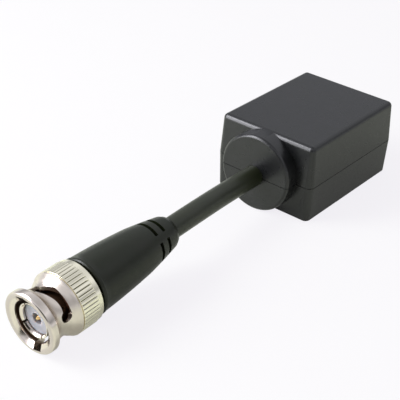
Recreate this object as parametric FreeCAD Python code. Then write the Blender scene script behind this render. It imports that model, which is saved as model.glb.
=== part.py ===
"""A passive video balun: a small clamshell housing with a modular jack in its rear, a short coaxial pigtail
out of a round collar in its front, a moulded boot and a bayonet plug with a turning coupling nut.

Millimetres, +Z up. The origin is on the surface that the housing rests on, under the middle of the housing,
collar included. +Y points to the jack and the plug lies towards -Y. The plug's own pieces are turned about
a local Z axis that starts at the nut's front face and runs to the cable, and are then laid on the surface.
"""
import FreeCAD, Part
import math
import os

from FreeCAD import Matrix, Vector

os.makedirs("parts", exist_ok=True)

# Housing, outside: its length and height follow from what it holds, further below
box_width = 28.5
parting_drop = 0.65
draft_above = 0.55
draft_below = 0.38
edge_radius = 1.6
collar_inset = 0.1
collar_length = 3.6
collar_rim_chamfer = 0.4

# Housing, inside
wall = 1.6
floor_wall = 1.5
roof_wall = 1.5
jack_headroom = 1.1
parts_room = 13.3
tongue_thickness = 0.7
tongue_height = 1.2
lap_gap = 0.08
rib_thickness = 1.2
saddle_side = 2.4
overcut = 1.0
fit_gap = 0.02

# Cable
cable_diameter = 5.2
dielectric_diameter = 3.0
conductor_diameter = 0.6
cable_bore_gap = 0.05
cable_end_gap = 0.5
clamp_ring_wall = 1.1
clamp_ring_width = 2.4
board_end_strip = 3.2
braid_tail_radius = 0.6
bend_share = 0.45
cable_run_at_plug = 17.5
cable_run_at_collar = 7.5
conductor_reach = 1.2
braid_reach = 1.6
braid_drop = 0.4
solder_gap = 0.05

# Circuit board
board_side_gap = 1.6
board_rear_margin = 4.26
board_thickness = 1.6
post_height = 1.1
board_front_gap = 0.3
post_width = 3.0
post_inset = 1.9

# Modular jack
jack_width = 15.9
jack_height = 13.3
jack_length = 17.6
jack_recess = 0.3
jack_fit = 0.12
port_width = 11.9
port_height = 8.0
port_depth = 13.2
port_floor = 2.4
latch_width = 6.2
latch_neck_width = 3.6
latch_depth = 1.6
latch_lip = 1.5
latch_back = 3.0
contact_count = 8
contact_pitch = 1.02
contact_width = 0.4
contact_thickness = 0.3
contact_slot_gap = 0.1
contact_row_first = 1.2
contact_row_step = 1.27
contact_crown = 0.7
contact_bend_start = 2.6
contact_bend_end = 2.2
contact_bend_drop = 0.45
contact_tip_inset = 2.4
contact_tip_drop = 1.9
comb_front = 1.6
comb_below = 0.5
comb_above = 1.1
carrier_front = 0.35
carrier_length = 3.4
carrier_width = 12.4
carrier_lift = 0.2
carrier_gap = 0.1
tail_length = 1.0
peg_radius = 1.55
peg_length = 2.4
peg_spread = 5.7
peg_place = 8.9

# Parts on the board: the core is placed from the board's right front corner and the chips from its left one
core_from_side = 5.0
core_from_front = 7.4
core_outer_radius = 4.0
core_inner_radius = 2.1
core_height = 3.0
core_lift = 0.5
wire_thickness = 0.35
winding_gap = 0.06
turns_per_winding = 6
winding_spread = 130.0
chip_edge = 0.12
suppressor_size = (4.4, 2.6, 2.3)
suppressor_place = (5.3, 6.6)
capacitor_size = (3.2, 1.6, 1.2)
capacitor_place = (4.3, 10.4)
resistor_size = (2.0, 1.25, 0.5)
resistor_place = (8.1, 10.4)

# Bayonet plug, lengths measured from the nut's front face along the plug's axis
plug_turn = 0.65
plug_rise = 4.07
plug_side_offset = 1.1
plug_front_distance = 94.5
rest_gap = 0.02
nut_flange_radius = 7.1
nut_flange_length = 1.9
nut_radius = 7.25
nut_waist_radius = 5.75
nut_waist_start = 3.6
nut_waist_end = 5.4
nut_flare_end = 8.0
nut_flange_edge = 0.2
nut_lip_edge = 0.5
nut_mouth_radius = 6.1
nut_mouth_depth = 0.75
nut_back_edge = 0.35
nut_groove_width = 0.45
nut_groove_depth = 0.35
nut_length = 14.1
knurl_end = 12.6
knurl_count = 48
knurl_depth = 0.22
knurl_width = 0.34
knurl_end_step = 0.15
nut_bore_radius = 4.9
nut_shoulder = 8.4
nut_lip_bore_radius = 5.25
key_angle = 74.0
key_width = 2.3
key_reach = 6.15
cam_reach = 6.25
detent_angle = 164.0
detent_place = 5.1
cam_steps = [(0.0, -1.3), (0.3, 0.05), (0.55, 0.83), (0.78, 1.0), (1.0, 0.45)]

body_flange_radius = 5.9
body_flange_length = 2.0
body_neck_radius = 4.5
running_gap = 0.1
spring_height = 1.3
spring_thickness = 0.3
spring_waves = 3
spring_steps = 24
spring_edge_gap = 0.1
spring_width = 0.9
washer_thickness = 0.5
contact_radius = 4.05
contact_wall = 0.6
contact_lead = 0.35
contact_front = 1.3
finger_count = 4
finger_slot = 0.5
finger_slot_angle = 45.0
body_turn = 14.0
finger_length = 5.0
gasket_length = 1.3
gasket_wall = 0.4
gasket_seat_radius = 4.4
gasket_seat_lead = 0.1
insulator_front = 2.2
insulator_length = 10.3
pin_radius = 0.675
pin_tip = 2.2
pin_socket_radius = 1.35
pin_socket_depth = 5.1
pin_back_radius = 1.05
pin_back_length = 5.0
pin_tip_radius = 0.24
pin_point_length = 0.8
pin_cup_depth = 2.6
crimp_stem_radius = 2.0
crimp_stem_length = 9.0
body_back_length = 5.4
ferrule_wall = 0.45
ferrule_length = 12.0
ferrule_step_lead = 0.4
braid_thickness = 0.2

boot_gap = 0.6
boot_length = 26.2
boot_bead_radius = 6.72
boot_bead_length = 0.9
boot_radius = 6.35
boot_straight = 11.0
boot_end_radius = 4.0
boot_end_edge = 0.5
boot_slot_width = 0.9
boot_slot_floors = (3.6, 3.3)
boot_slot_first = 19.3
boot_slot_pitch = 2.6
boot_bridge_angle = 139.6
boot_bridge_width = 1.7
boot_slots_round = 4

# Heights, from the surface up
board_bottom = floor_wall + post_height
board_top = board_bottom + board_thickness
jack_top = board_top + jack_height
port_bottom = board_top + port_floor
port_top = port_bottom + port_height
cavity_floor = floor_wall
cavity_roof = jack_top + jack_headroom
box_height = cavity_roof + roof_wall
parting_height = box_height / 2 - parting_drop
collar_radius = box_height / 2 - collar_inset

# Lengths from the collar's face to the rear wall: the wall, the clamped cable, the board's front, the jack
front_to_board = draft_above + wall + clamp_ring_width + lap_gap + rib_thickness + board_front_gap
overall_length = collar_length + front_to_board + parts_room + jack_length + jack_recess
collar_face_y = -overall_length / 2
front_y = collar_face_y + collar_length
rear_y = overall_length / 2
cavity_front = front_y + draft_above + wall
cavity_rear = rear_y - draft_above - wall
saddle_y = cavity_front + clamp_ring_width + lap_gap
board_front = front_y + front_to_board
cable_end_y = saddle_y + rib_thickness + cable_end_gap
jack_rear = rear_y - jack_recess
jack_front = jack_rear - jack_length
port_back = jack_rear - port_depth
carrier_back = jack_front + carrier_length
peg_y = jack_front + peg_place
board_rear = peg_y + board_rear_margin

# Widths
cable_radius = cable_diameter / 2
cavity_half_width = box_width / 2 - draft_above - wall
board_half_width = cavity_half_width - board_side_gap
core_x = board_half_width - core_from_side
core_y = board_front + core_from_front


def save(shape, name):
    """Writes one named piece, after a check that it is sound."""
    if not shape.isValid():
        print("not valid:", name)
    shape.exportStep("parts/" + name + ".step")
    print(name, len(shape.Solids), "solid(s)", round(shape.Volume, 2), "mm3")


def block(x0, x1, y0, y1, z0, z1):
    """A box between two corners."""
    return Part.makeBox(x1 - x0, y1 - y0, z1 - z0, Vector(x0, y0, z0))


def rod(radius, start, direction, length):
    """A cylinder from a point along a direction."""
    return Part.makeCylinder(radius, length, start, direction)


def tube(outer, inner, z0, z1):
    """A ring about the local Z axis."""
    ring = Part.makeCylinder(outer, z1 - z0, Vector(0, 0, z0))
    return ring.cut(Part.makeCylinder(inner, z1 - z0, Vector(0, 0, z0)))


def turned(points):
    """A solid of revolution about the local Z axis from (radius, z) corners in order."""
    corners = [Vector(radius, 0, z) for radius, z in points]
    face = Part.Face(Part.makePolygon(corners + corners[:1]))
    return face.revolve(Vector(0, 0, 0), Vector(0, 0, 1), 360)


def edges_where(shape, test):
    """The edges whose two ends and middle all pass a test on a point."""
    found = []
    for edge in shape.Edges:
        middle = edge.valueAt((edge.FirstParameter + edge.LastParameter) / 2)
        ends = [vertex.Point for vertex in edge.Vertexes]
        if all(test(point) for point in ends + [middle]):
            found.append(edge)
    return found


# Housing shells

def drafted_half(z0, z1, inset0, inset1):
    """One half of the housing. Its walls lean in from the parting plane, and its upright edges are round."""
    outlines = []
    for z, inset in ((z0, inset0), (z1, inset1)):
        x = box_width / 2 - inset
        y0, y1 = front_y + inset, rear_y - inset
        outlines.append([Vector(-x, y0, z), Vector(x, y0, z), Vector(x, y1, z), Vector(-x, y1, z)])
    bottom, top = outlines
    faces = [bottom[::-1], top]
    for index in range(4):
        after = (index + 1) % 4
        faces.append([bottom[index], bottom[after], top[after], top[index]])
    shell = Part.makeShell([Part.Face(Part.makePolygon(corners + corners[:1])) for corners in faces])
    return Part.makeSolid(shell)


def edge_rises(edge):
    """True for an edge that runs from the parting plane to the roof or the floor."""
    return abs(edge.Vertexes[0].Z - edge.Vertexes[-1].Z) > 1


def collar_half(z0, z1):
    """The half of the round cable collar that lies between two heights."""
    centre = Vector(0, collar_face_y, box_height / 2)
    disc = rod(collar_radius, centre, Vector(0, 1, 0), cavity_front - collar_face_y)
    rim = edges_where(disc, lambda point: point.y < collar_face_y + 0.01)
    disc = disc.makeChamfer(collar_rim_chamfer, rim)
    keep = block(-box_width, box_width, collar_face_y - overcut, rear_y, z0, z1)
    return disc.common(keep)


def cavity():
    """The room inside both shells."""
    return block(-cavity_half_width, cavity_half_width, cavity_front, cavity_rear, cavity_floor, cavity_roof)


def cable_bore():
    """The round hole through the collar and the front wall, on the parting plane."""
    start = Vector(0, collar_face_y - overcut, parting_height)
    length = cavity_front - collar_face_y + 2 * overcut
    return rod(cable_radius + cable_bore_gap, start, Vector(0, 1, 0), length)


def jack_window():
    """The opening in the rear wall, a fit round the jack."""
    half = jack_width / 2 + jack_fit
    return block(-half, half, cavity_rear - overcut, rear_y + overcut,
                 board_top - jack_fit, jack_top + jack_fit)


def lap_ring(thickness, height):
    """The ring round the cavity that the tongue fills."""
    half = cavity_half_width + thickness
    ring = block(-half, half, cavity_front - thickness, cavity_rear + thickness,
                 parting_height, parting_height + height)
    ring = ring.cut(cavity())
    start = Vector(0, collar_face_y, parting_height)
    end_bore = rod(cable_radius + wall, start, Vector(0, 1, 0), overall_length / 2)
    half_window = jack_width / 2 + jack_fit + wall / 2
    window = block(-half_window, half_window, cavity_rear - overcut, rear_y + overcut, 0, box_height)
    return ring.cut(end_bore).cut(window)


def clamp_saddle(z0, z1):
    """The rib behind the front wall that traps the cable's clamp ring."""
    half = cable_radius + clamp_ring_wall + saddle_side
    rib = block(-half, half, saddle_y, saddle_y + rib_thickness, z0, z1)
    start = Vector(0, saddle_y - overcut, parting_height)
    notch = rod(cable_radius + cable_bore_gap, start, Vector(0, 1, 0), rib_thickness + 2 * overcut)
    return rib.cut(notch)


def post_places():
    """The four board posts, near the board's corners."""
    xs = (post_inset - board_half_width, board_half_width - post_inset)
    ys = (board_front + post_inset, board_rear - post_inset)
    return [(x, y) for x in xs for y in ys]


def make_lower_shell():
    half = drafted_half(0, parting_height, draft_below, 0)
    half = half.makeFillet(edge_radius, [edge for edge in half.Edges if edge_rises(edge)])
    shell = half.fuse(collar_half(0, parting_height))
    shell = shell.cut(cavity()).cut(cable_bore()).cut(jack_window())
    shell = shell.fuse(lap_ring(tongue_thickness, tongue_height))
    for x, y in post_places():
        post = block(x - post_width / 2, x + post_width / 2, y - post_width / 2, y + post_width / 2,
                     cavity_floor, board_bottom)
        shell = shell.fuse(post)
    shell = shell.fuse(clamp_saddle(cavity_floor, parting_height))
    return shell.removeSplitter()


def make_upper_shell():
    half = drafted_half(parting_height, box_height, 0, draft_above)
    roof_edges = edges_where(half, lambda point: point.z > box_height - 0.01)
    half = half.makeFillet(edge_radius, roof_edges + [edge for edge in half.Edges if edge_rises(edge)])
    shell = half.fuse(collar_half(parting_height, box_height))
    shell = shell.cut(cavity()).cut(cable_bore()).cut(jack_window())
    shell = shell.cut(lap_ring(tongue_thickness + lap_gap, tongue_height + lap_gap))
    shell = shell.fuse(clamp_saddle(parting_height, cavity_roof))
    # Two ribs press the jack down on the board.
    for side in (-1, 1):
        x = side * jack_width / 3
        rib = block(x - rib_thickness / 2, x + rib_thickness / 2, jack_front, cavity_rear,
                    jack_top + lap_gap, cavity_roof)
        shell = shell.fuse(rib)
    return shell.removeSplitter()


# Circuit board and what stands on it

def make_circuit_board():
    board = block(-board_half_width, board_half_width, board_front, board_rear, board_bottom, board_top)
    hole_half = contact_width / 2 + contact_slot_gap
    for x, y in contact_places():
        board = board.cut(block(x - hole_half, x + hole_half, y - hole_half, y + hole_half, 0, jack_top))
    for side in (-1, 1):
        start = Vector(side * peg_spread, peg_y, 0)
        board = board.cut(rod(peg_radius + fit_gap, start, Vector(0, 0, 1), jack_top))
    return board


def make_transformer_core():
    z0 = board_top + core_lift
    ring = tube(core_outer_radius, core_inner_radius, z0, z0 + core_height)
    ring.translate(Vector(core_x, core_y, 0))
    return ring


def make_winding(middle_angle):
    """Separate square turns of wire round the section of the core."""
    radius_in = core_inner_radius - winding_gap
    radius_out = core_outer_radius + winding_gap
    z0 = board_top + core_lift - winding_gap
    z1 = board_top + core_lift + core_height + winding_gap
    turns = []
    for index in range(turns_per_winding):
        angle = middle_angle + winding_spread * (index / (turns_per_winding - 1) - 0.5)
        outer = block(radius_in - wire_thickness, radius_out + wire_thickness,
                      -wire_thickness / 2, wire_thickness / 2, z0 - wire_thickness, z1 + wire_thickness)
        inner = block(radius_in, radius_out, -wire_thickness, wire_thickness, z0, z1)
        turn = outer.cut(inner)
        turn.rotate(Vector(0, 0, 0), Vector(0, 0, 1), angle)
        turn.translate(Vector(core_x, core_y, 0))
        turns.append(turn)
    return Part.makeCompound(turns)


def chip(size, place):
    """A small block that stands on the board."""
    length, width, height = size
    x, y = place[0] - board_half_width, board_front + place[1]
    z0 = board_top + fit_gap
    z1 = z0 + height
    body = block(x - length / 2, x + length / 2, y - width / 2, y + width / 2, z0, z1)
    return body.makeChamfer(chip_edge, edges_where(body, lambda point: point.z > z1 - 0.01))


# Modular jack

def contact_places():
    """Where each contact wire goes down through the board: two rows, one behind the other."""
    places = []
    for index in range(contact_count):
        x = (index - (contact_count - 1) / 2) * contact_pitch
        y = jack_front + contact_row_first + (index % 2) * contact_row_step
        places.append((x, y))
    return places


def make_wire(x, y):
    """A contact wire cut from its path in the upright plane."""
    path = [
        (y, board_bottom - tail_length),
        (y, port_top + contact_crown),
        (jack_rear - contact_bend_start, port_top + contact_crown),
        (jack_rear - contact_bend_end, port_top + contact_crown - contact_bend_drop),
        (port_back + contact_tip_inset, port_top - contact_tip_drop),
    ]
    half = contact_thickness / 2
    left = offset_path(path, half)
    right = offset_path(path, -half)
    corners = left + right[::-1]
    points = [Vector(x - contact_width / 2, a, b) for a, b in corners]
    face = Part.Face(Part.makePolygon(points + points[:1]))
    return face.extrude(Vector(contact_width, 0, 0))


def offset_path(path, distance):
    """A polyline moved sideways by a distance, with mitred corners."""
    result = []
    for index, (a, b) in enumerate(path):
        normals = []
        if index > 0:
            normals.append(unit_normal(path[index - 1], path[index]))
        if index < len(path) - 1:
            normals.append(unit_normal(path[index], path[index + 1]))
        na = sum(n[0] for n in normals)
        nb = sum(n[1] for n in normals)
        size = math.hypot(na, nb)
        na, nb = na / size, nb / size
        stretch = distance / (na * normals[0][0] + nb * normals[0][1])
        result.append((a + na * stretch, b + nb * stretch))
    return result


def unit_normal(start, end):
    da, db = end[0] - start[0], end[1] - start[1]
    size = math.hypot(da, db)
    return (-db / size, da / size)


def make_jack_contacts():
    return Part.makeCompound([make_wire(x, y) for x, y in contact_places()])


def make_jack_carrier():
    """The insert behind the port: it holds the risers of all the contact wires."""
    half = carrier_width / 2
    carrier = block(-half, half, jack_front + carrier_front, carrier_back,
                    board_top + carrier_gap, port_top + carrier_lift)
    return carrier.cut(contact_room(contact_slot_gap))


def contact_room(gap):
    """The slots that leave a gap round each contact wire."""
    slots = []
    for x, y in contact_places():
        half_x = contact_width / 2 + gap
        half_y = contact_thickness / 2 + gap
        slots.append(block(x - half_x, x + half_x, y - half_y, y + half_y, 0, jack_top))
    return Part.makeCompound(slots)


def make_jack_housing():
    half = jack_width / 2
    body = block(-half, half, jack_front, jack_rear, board_top, jack_top)
    out = jack_rear + overcut
    lip = jack_rear - latch_lip
    port = block(-port_width / 2, port_width / 2, port_back, out, port_bottom, port_top)
    latch_bottom = port_bottom - latch_depth
    latch = block(-latch_width / 2, latch_width / 2, port_back + latch_back, lip, latch_bottom, port_bottom)
    neck = block(-latch_neck_width / 2, latch_neck_width / 2, lip - overcut, out, latch_bottom, port_bottom)
    mouth = block(-latch_width / 2, latch_width / 2, lip - overcut, out,
                  port_bottom - latch_depth / 2, port_bottom)
    body = body.cut(port).cut(latch).cut(neck).cut(mouth)
    # Room for the carrier behind the port, and the comb of slots in the roof of the port
    room = block(-carrier_width / 2 - carrier_gap, carrier_width / 2 + carrier_gap, jack_front - overcut,
                 carrier_back + carrier_gap, board_top - overcut, port_top + carrier_lift + carrier_gap)
    body = body.cut(room)
    for x, y in contact_places():
        half_x = contact_width / 2 + contact_slot_gap
        slot = block(x - half_x, x + half_x, jack_front - overcut, jack_rear - comb_front,
                     port_top - comb_below, port_top + comb_above)
        body = body.cut(slot)
    window = block(-port_width / 2, port_width / 2, carrier_back, port_back + overcut, port_bottom, port_top)
    body = body.cut(window)
    for side in (-1, 1):
        foot = Vector(side * peg_spread, peg_y, board_top - peg_length)
        body = body.fuse(rod(peg_radius, foot, Vector(0, 0, 1), peg_length + fit_gap))
    return body.removeSplitter()


# Cable

def plug_axis():
    """The direction from the plug's front towards the cable."""
    turn, rise = math.radians(plug_turn), math.radians(plug_rise)
    return Vector(math.sin(turn) * math.cos(rise), math.cos(turn) * math.cos(rise), math.sin(rise))


def plug_front():
    """The middle of the nut's front face, with the nut's flange on the surface."""
    rise = math.radians(plug_rise)
    height = nut_flange_radius * math.cos(rise) - nut_lip_edge * math.sin(rise) + rest_gap
    return Vector(plug_side_offset, -plug_front_distance, height)


def on_plug(place):
    """A point on the plug's axis, a length behind the nut's front face."""
    return plug_front() + plug_axis() * place


def lay_down(shape):
    """Moves a piece from the plug's local axis to where the plug lies."""
    along = plug_axis()
    turn = math.radians(plug_turn)
    side = Vector(-math.cos(turn), math.sin(turn), 0)
    up = along.cross(side)
    origin = plug_front()
    matrix = Matrix(side.x, up.x, along.x, origin.x,
                    side.y, up.y, along.y, origin.y,
                    side.z, up.z, along.z, origin.z,
                    0, 0, 0, 1)
    return shape.transformed(matrix, True)


def rounded_route(points):
    """A wire of straight runs joined by tangent arcs, each as large as its two runs allow."""
    edges = []
    start = points[0]
    for before, corner, after in zip(points, points[1:], points[2:]):
        back = (before - corner)
        ahead = (after - corner)
        shorter = min(back.Length, ahead.Length)
        back.normalize()
        ahead.normalize()
        half_turn = (math.pi - back.getAngle(ahead)) / 2
        reach = bend_share * shorter
        radius = reach / math.tan(half_turn)
        bisector = back + ahead
        bisector.normalize()
        centre = corner + bisector * (radius / math.cos(half_turn))
        middle = centre - bisector * radius
        arc_start = corner + back * reach
        arc_end = corner + ahead * reach
        edges.append(Part.LineSegment(start, arc_start).toShape())
        edges.append(Part.Arc(arc_start, middle, arc_end).toShape())
        start = arc_end
        print("cable arc radius", round(radius, 1), "mm")
    edges.append(Part.LineSegment(start, points[-1]).toShape())
    return Part.Wire(edges)


def route_points():
    """The cable's route, from inside the crimp ferrule to behind the housing's front wall."""
    return [
        on_plug(ferrule_start() + ferrule_length),
        on_plug(ferrule_start() + ferrule_length + cable_run_at_plug),
        Vector(0, collar_face_y - cable_run_at_collar, parting_height),
        Vector(0, cable_end_y, parting_height),
    ]


def make_cable():
    route = rounded_route(route_points())
    circle = Part.Circle(route_points()[0], plug_axis(), cable_radius)
    section = Part.Wire([circle.toShape()])
    cable = route.makePipeShell([section], True, False)
    print("cable length", round(route.Length, 1), "mm, volume against section times length",
          round(cable.Volume / (math.pi * cable_radius ** 2 * route.Length), 4))
    return cable


def make_board_end_dielectric():
    start = Vector(0, cable_end_y, parting_height)
    core = rod(dielectric_diameter / 2, start, Vector(0, 1, 0), board_end_strip)
    hole = rod(conductor_diameter / 2 + fit_gap, start, Vector(0, 1, 0), board_end_strip)
    return core.cut(hole)


def elbow(radius, start, corner, foot):
    """A wire that runs level to a corner and then straight down, mitred there."""
    level = rod(radius, start, Vector(0, 1, 0), corner.y - start.y + radius)
    drop = rod(radius, foot, Vector(0, 0, 1), corner.z - foot.z + radius)
    reach = 3 * radius
    inner = corner + Vector(-reach, -reach, -reach)
    outer = corner + Vector(-reach, reach, reach)
    under = corner + Vector(-reach, reach, -reach)
    over = corner + Vector(-reach, -reach, reach)
    width = Vector(2 * reach, 0, 0)
    below = Part.Face(Part.makePolygon([inner, outer, under, inner])).extrude(width)
    above = Part.Face(Part.makePolygon([inner, outer, over, inner])).extrude(width)
    return level.cut(below).fuse(drop.cut(above)).removeSplitter()


def make_board_end_conductor():
    """The bare middle wire: out of the dielectric and bent down into the board."""
    start = Vector(0, cable_end_y, parting_height)
    tip = Vector(0, cable_end_y + board_end_strip + conductor_reach, parting_height)
    foot = Vector(0, tip.y, board_top + solder_gap)
    return elbow(conductor_diameter / 2, start, tip, foot)


def make_board_end_braid():
    """The braid twisted to one tail beside the dielectric, soldered to the board."""
    x = -(dielectric_diameter / 2 + braid_tail_radius + solder_gap)
    start = Vector(x, cable_end_y, parting_height - braid_drop)
    corner = Vector(x, cable_end_y + braid_reach, start.z)
    foot = Vector(x, corner.y, board_top + solder_gap)
    return elbow(braid_tail_radius, start, corner, foot)


def make_clamp_ring():
    start = Vector(0, cavity_front + lap_gap / 2, parting_height)
    ring = rod(cable_radius + clamp_ring_wall, start, Vector(0, 1, 0), clamp_ring_width)
    return ring.cut(rod(cable_radius + fit_gap, start, Vector(0, 1, 0), clamp_ring_width))


# Bayonet plug, in its local frame

def body_flange_place():
    return nut_shoulder + running_gap


def spring_place():
    return body_flange_place() + body_flange_length


def washer_place():
    return spring_place() + spring_height


def lip_place():
    return washer_place() + washer_thickness + running_gap


def body_back_end():
    return nut_length + boot_gap + body_back_length


def crimp_stem_end():
    return body_back_end() + crimp_stem_length


def ferrule_start():
    return body_back_end() + fit_gap


def make_nut_blank():
    """The turned nut before its slots and knurl."""
    back = nut_radius - knurl_end_step
    groove_floor = nut_radius - nut_groove_depth
    groove_end = nut_flare_end + nut_groove_width
    profile = [
        (nut_bore_radius, nut_mouth_depth),
        (nut_mouth_radius, 0),
        (nut_flange_radius - nut_lip_edge, 0),
        (nut_flange_radius, nut_lip_edge),
        (nut_flange_radius, nut_flange_length),
        (nut_flange_radius - nut_flange_edge, nut_flange_length),
        (nut_waist_radius, nut_waist_start),
        (nut_waist_radius, nut_waist_end),
        (nut_radius, nut_flare_end),
        (groove_floor, nut_flare_end),
        (groove_floor, groove_end),
        (nut_radius, groove_end),
        (nut_radius, knurl_end),
        (back, knurl_end),
        (back, nut_length - nut_back_edge),
        (back - nut_back_edge, nut_length),
        (nut_lip_bore_radius, nut_length),
        (nut_lip_bore_radius, lip_place()),
        (nut_shelf_radius(), lip_place()),
        (nut_shelf_radius(), nut_shoulder),
        (nut_bore_radius, nut_shoulder),
    ]
    return turned(profile)


def nut_shelf_radius():
    return body_flange_radius + 2 * running_gap


def cam_path():
    """Angle and place along the axis of the middle of a cam slot, from the keyway to the detent."""
    sweep = detent_angle - key_angle
    return [(key_angle + share * sweep, detent_place + rise) for share, rise in cam_steps]


def radial_rectangle(angle, place):
    """The slot cutter's section in the half plane at an angle."""
    a = math.radians(angle)
    outward = Vector(math.cos(a), math.sin(a), 0)
    half = key_width / 2
    r0, r1 = nut_bore_radius - overcut, cam_reach
    corners = [(r0, place - half), (r1, place - half), (r1, place + half), (r0, place + half)]
    return Part.makePolygon([outward * r + Vector(0, 0, z) for r, z in corners + corners[:1]])


def make_cam_cutter():
    """Keyway, cam slot and detent of one of the two bayonet tracks."""
    half = key_width / 2
    first_place = cam_path()[0][1]
    entry = block(nut_bore_radius - overcut, key_reach, -half, half, -overcut, first_place + half)
    entry.rotate(Vector(0, 0, 0), Vector(0, 0, 1), key_angle)
    track = Part.makeLoft([radial_rectangle(angle, place) for angle, place in cam_path()], True, False)
    a = math.radians(detent_angle)
    outward = Vector(math.cos(a), math.sin(a), 0)
    start = outward * (nut_bore_radius - overcut) + Vector(0, 0, detent_place)
    detent = rod(half, start, outward, nut_radius - nut_bore_radius + overcut)
    return entry.fuse(track).fuse(detent)


def make_coupling_nut():
    nut = make_nut_blank()
    cutter = make_cam_cutter()
    nut = nut.cut(cutter)
    opposite = cutter.copy()
    opposite.rotate(Vector(0, 0, 0), Vector(0, 0, 1), 180)
    nut = nut.cut(opposite)
    grooves = []
    for index in range(knurl_count):
        groove = knurl_groove()
        groove.rotate(Vector(0, 0, 0), Vector(0, 0, 1), 360.0 * index / knurl_count)
        grooves.append(groove)
    return nut.cut(Part.makeCompound(grooves))


def knurl_groove():
    """One straight three-cornered groove along the knurled band."""
    root = nut_radius - knurl_depth
    past = nut_radius + knurl_depth / 2
    half = knurl_width / 2 * (past - root) / knurl_depth
    start = nut_flare_end + nut_groove_width / 2
    corners = [Vector(root, 0, start), Vector(past, half, start), Vector(past, -half, start)]
    face = Part.Face(Part.makePolygon(corners + corners[:1]))
    return face.extrude(Vector(0, 0, knurl_end - start))


def make_plug_body():
    inner = contact_radius - contact_wall
    flange = body_flange_place()
    flange_end = flange + body_flange_length
    insulator_end = insulator_front + insulator_length + fit_gap
    profile = [
        (inner, contact_front + contact_lead),
        (inner + contact_lead, contact_front),
        (contact_radius, contact_front),
        (contact_radius, flange - gasket_length - gasket_seat_lead),
        (gasket_seat_radius, flange - gasket_length - gasket_seat_lead),
        (gasket_seat_radius, flange),
        (body_flange_radius, flange),
        (body_flange_radius, flange_end),
        (body_neck_radius, flange_end),
        (body_neck_radius, body_back_end()),
        (crimp_stem_radius, body_back_end()),
        (crimp_stem_radius, crimp_stem_end()),
        (dielectric_diameter / 2 + fit_gap, crimp_stem_end()),
        (dielectric_diameter / 2 + fit_gap, insulator_end),
        (inner, insulator_end),
    ]
    body = turned(profile)
    for index in range(finger_count // 2):
        slot = block(-contact_radius - overcut, contact_radius + overcut, -finger_slot / 2, finger_slot / 2,
                     contact_front - overcut, contact_front + finger_length)
        slot.rotate(Vector(0, 0, 0), Vector(0, 0, 1), finger_slot_angle + index * 360.0 / finger_count)
        body = body.cut(slot)
    body.rotate(Vector(0, 0, 0), Vector(0, 0, 1), body_turn)
    return body


def make_plug_insulator():
    radius = contact_radius - contact_wall - fit_gap
    end = insulator_front + insulator_length
    profile = [
        (pin_socket_radius, insulator_front),
        (radius, insulator_front),
        (radius, end),
        (pin_back_radius + fit_gap, end),
        (pin_back_radius + fit_gap, pin_step()),
        (pin_socket_radius, pin_step()),
    ]
    return turned(profile)


def pin_step():
    """Where the pin's thin front meets its thick rear, at the bottom of the insulator's socket."""
    return insulator_front + pin_socket_depth


def pin_end():
    return pin_step() + pin_back_length


def make_centre_pin():
    hole = conductor_diameter / 2 + fit_gap
    profile = [
        (0, pin_tip),
        (pin_tip_radius, pin_tip),
        (pin_radius, pin_tip + pin_point_length),
        (pin_radius, pin_step()),
        (pin_back_radius, pin_step()),
        (pin_back_radius, pin_end()),
        (hole, pin_end()),
        (hole, pin_end() - pin_cup_depth),
        (0, pin_end() - pin_cup_depth),
    ]
    return turned(profile)


def make_plug_gasket():
    end = body_flange_place() - fit_gap
    inner = gasket_seat_radius + fit_gap
    return tube(inner + gasket_wall, inner, end - gasket_length, end)


def make_wave_spring():
    """A washer that waves three times round, between the flange and the plain washer."""
    outer = body_flange_radius - spring_edge_gap
    inner = outer - spring_width
    lift = (spring_height - spring_thickness) / 2 - fit_gap
    middle = spring_place() + spring_height / 2
    sections = []
    for index in range(spring_steps):
        angle = 2 * math.pi * index / spring_steps
        sections.append((angle, middle + lift * math.cos(spring_waves * angle)))
    pieces = []
    for (a0, z0), (a1, z1) in zip(sections, sections[1:] + [(2 * math.pi, sections[0][1])]):
        ends = [spring_section(a0, z0, inner, outer), spring_section(a1, z1, inner, outer)]
        pieces.append(Part.makeLoft(ends, True, True))
    solid = pieces[0].multiFuse(pieces[1:])
    return solid.removeSplitter()


def spring_section(angle, z, inner, outer):
    outward = Vector(math.cos(angle), math.sin(angle), 0)
    half = spring_thickness / 2
    corners = [(inner, z - half), (outer, z - half), (outer, z + half), (inner, z + half), (inner, z - half)]
    return Part.makePolygon([outward * r + Vector(0, 0, h) for r, h in corners])


def make_thrust_washer():
    z0 = washer_place()
    return tube(body_flange_radius + running_gap, body_neck_radius + running_gap, z0, z0 + washer_thickness)


def make_plug_end_braid():
    inner = crimp_stem_radius + fit_gap
    return tube(inner + braid_thickness, inner, ferrule_start(), crimp_stem_end())


def make_crimp_ferrule():
    z0 = ferrule_start()
    end = z0 + ferrule_length
    step = crimp_stem_end() + ferrule_step_lead
    inner = crimp_stem_radius + braid_thickness + 2 * fit_gap
    profile = [
        (inner, z0),
        (inner + ferrule_wall, z0),
        (inner + ferrule_wall, step),
        (cable_radius + ferrule_wall, step),
        (cable_radius + ferrule_wall, end),
        (inner, end),
    ]
    return turned(profile)


def make_plug_end_dielectric():
    z0 = insulator_front + insulator_length + fit_gap
    z1 = ferrule_start() + ferrule_length
    return tube(dielectric_diameter / 2, conductor_diameter / 2 + fit_gap, z0, z1)


def make_plug_end_conductor():
    z0 = pin_end() - pin_cup_depth + fit_gap
    z1 = ferrule_start() + ferrule_length
    return Part.makeCylinder(conductor_diameter / 2, z1 - z0, Vector(0, 0, z0))


def boot_start():
    return nut_length + boot_gap


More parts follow.
